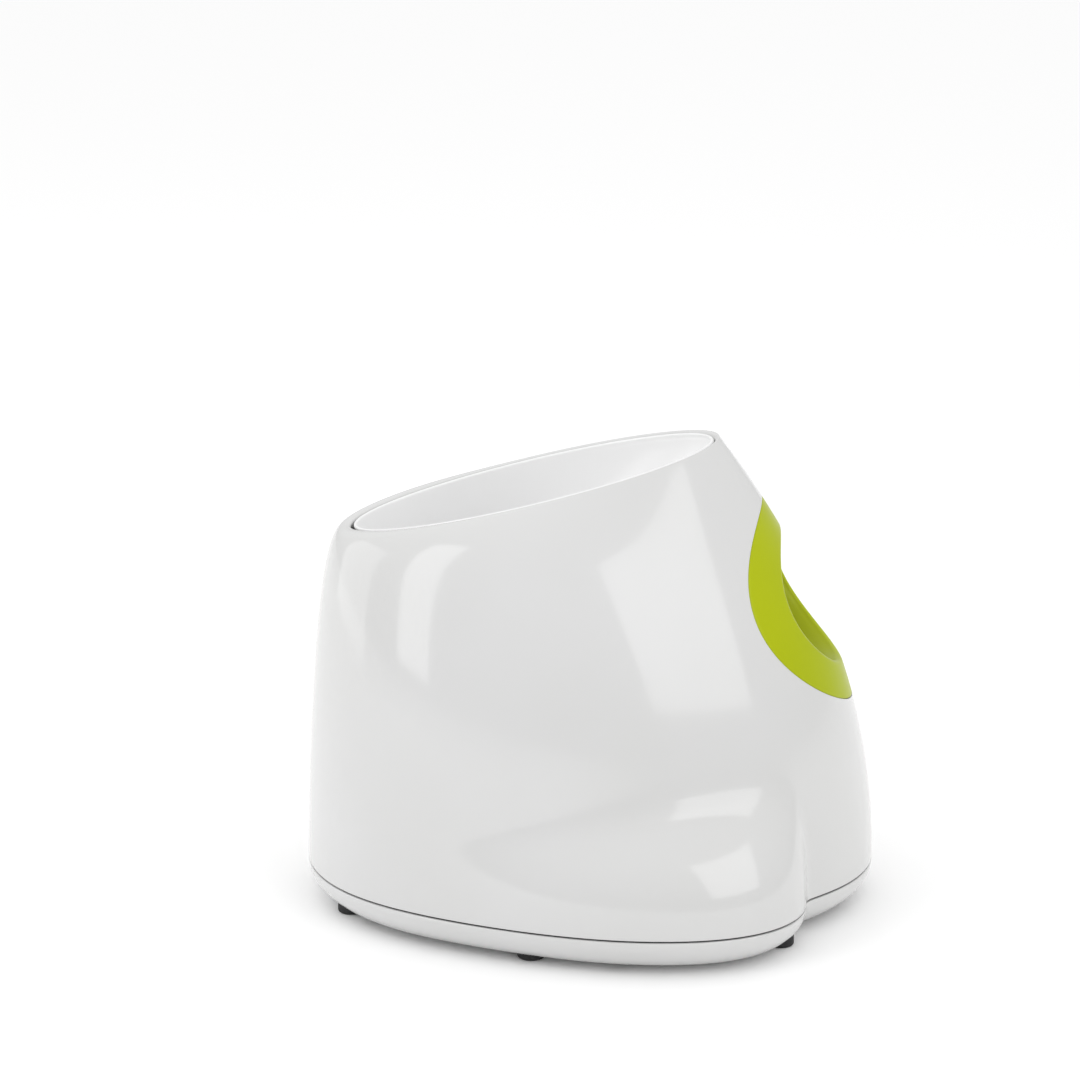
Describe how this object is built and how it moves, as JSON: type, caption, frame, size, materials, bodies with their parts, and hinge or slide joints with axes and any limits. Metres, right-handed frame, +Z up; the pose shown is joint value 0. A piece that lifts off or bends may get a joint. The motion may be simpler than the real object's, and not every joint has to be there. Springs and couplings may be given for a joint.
{
  "type": "automatic dog ball launcher",
  "caption": "Glossy rounded body on small feet with an oval ball hopper on top and a tilted round muzzle in front; two flywheels throw balls fed by an arm.",
  "frame": {"origin": "on the floor, under the middle of the body", "axes": "+X is the launch direction, +Z is up, Y = 0 is the plane of symmetry of the body"},
  "size_m": [0.2536, 0.2184, 0.2098],
  "materials": {
    "housing_white": "glossy moulded ABS",
    "hopper_white": "glossy moulded ABS",
    "lime_plastic": "glossy moulded ABS, lime green",
    "grey_plastic": "satin moulded plastic",
    "clear_grey_plastic": "satin moulded plastic",
    "black_plastic": "fine matte",
    "foot_rubber": "matte rubber",
    "tyre_rubber": "matte rubber",
    "screw_steel": "zinc plated",
    "motor_steel": "plated can",
    "shaft_steel": "ground",
    "contact_nickel": "nickel plated",
    "cell_jacket": "printed sleeve, plain",
    "board_green": "solder mask",
    "lamp_clear": "clear light pipe",
    "button_lime": "glossy moulded ABS, lime green"
  },
  "bodies": {
    "launcher": {"upper_housing": "housing_white", "hopper": "hopper_white", "muzzle_ring": "lime_plastic", "ring_screws": "screw_steel", "launch_tube": "grey_plastic", "breech": "grey_plastic", "ball_sensor": "black_plastic", "drive_frame": "clear_grey_plastic", "frame_screws": "screw_steel", "motor_left": "motor_steel", "motor_right": "motor_steel", "motor_end_caps": "black_plastic", "motor_screws": "screw_steel", "feed_gearbox": "clear_grey_plastic", "feed_motor": "motor_steel", "base_tray": "housing_white", "base_screws": "screw_steel", "feet": "foot_rubber", "battery_box": "black_plastic", "battery_cells": "cell_jacket", "battery_springs": "contact_nickel", "contact_plates": "contact_nickel", "control_panel": "housing_white", "lamp_lenses": "lamp_clear", "main_board": "board_green", "board_screws": "screw_steel", "tact_switches": "black_plastic", "board_components": "black_plastic", "dc_jack": "black_plastic"},
    "flywheel_left": {"flywheel_left_hub": "clear_grey_plastic", "flywheel_left_tyre": "tyre_rubber", "flywheel_left_shaft": "shaft_steel"},
    "flywheel_right": {"flywheel_right_hub": "clear_grey_plastic", "flywheel_right_tyre": "tyre_rubber", "flywheel_right_shaft": "shaft_steel"},
    "feed_arm": {"feed_arm": "lime_plastic", "feed_shaft": "shaft_steel"},
    "power_button": {"power_button": "button_lime"},
    "range_button": {"range_button": "button_lime"},
    "battery_door": {"battery_door": "housing_white"}
  },
  "joints": [
    {"name": "flywheel_left_spin", "type": "hinge", "parent": "launcher", "child": "flywheel_left", "pos_m": [0.01545, 0.0455, 0.10711], "axis": [-0.3584, 0, 0.9336], "continuous": true},
    {"name": "flywheel_right_spin", "type": "hinge", "parent": "launcher", "child": "flywheel_right", "pos_m": [0.01545, -0.0455, 0.10711], "axis": [-0.3584, 0, 0.9336], "continuous": true},
    {"name": "feed_swing", "type": "hinge", "parent": "launcher", "child": "feed_arm", "pos_m": [-0.0271, 0, 0.03937], "axis": [0, 1, 0], "range_deg": [0, 60]},
    {"name": "power_press", "type": "slide", "parent": "launcher", "child": "power_button", "axis": [1, 0, 0], "range_m": [0, 0.001], "stiffness_N_per_m": 400, "springref_m": -0.001},
    {"name": "range_press", "type": "slide", "parent": "launcher", "child": "range_button", "axis": [1, 0, 0], "range_m": [0, 0.001], "stiffness_N_per_m": 400, "springref_m": -0.001},
    {"name": "battery_door_swing", "type": "hinge", "parent": "launcher", "child": "battery_door", "pos_m": [-0.0005, 0, 0.0051], "axis": [0, 1, 0], "range_deg": [0, 40]}
  ],
  "couplings": [
    {"joint": "flywheel_right_spin", "follows": "flywheel_left_spin", "ratio": -1}
  ]
}
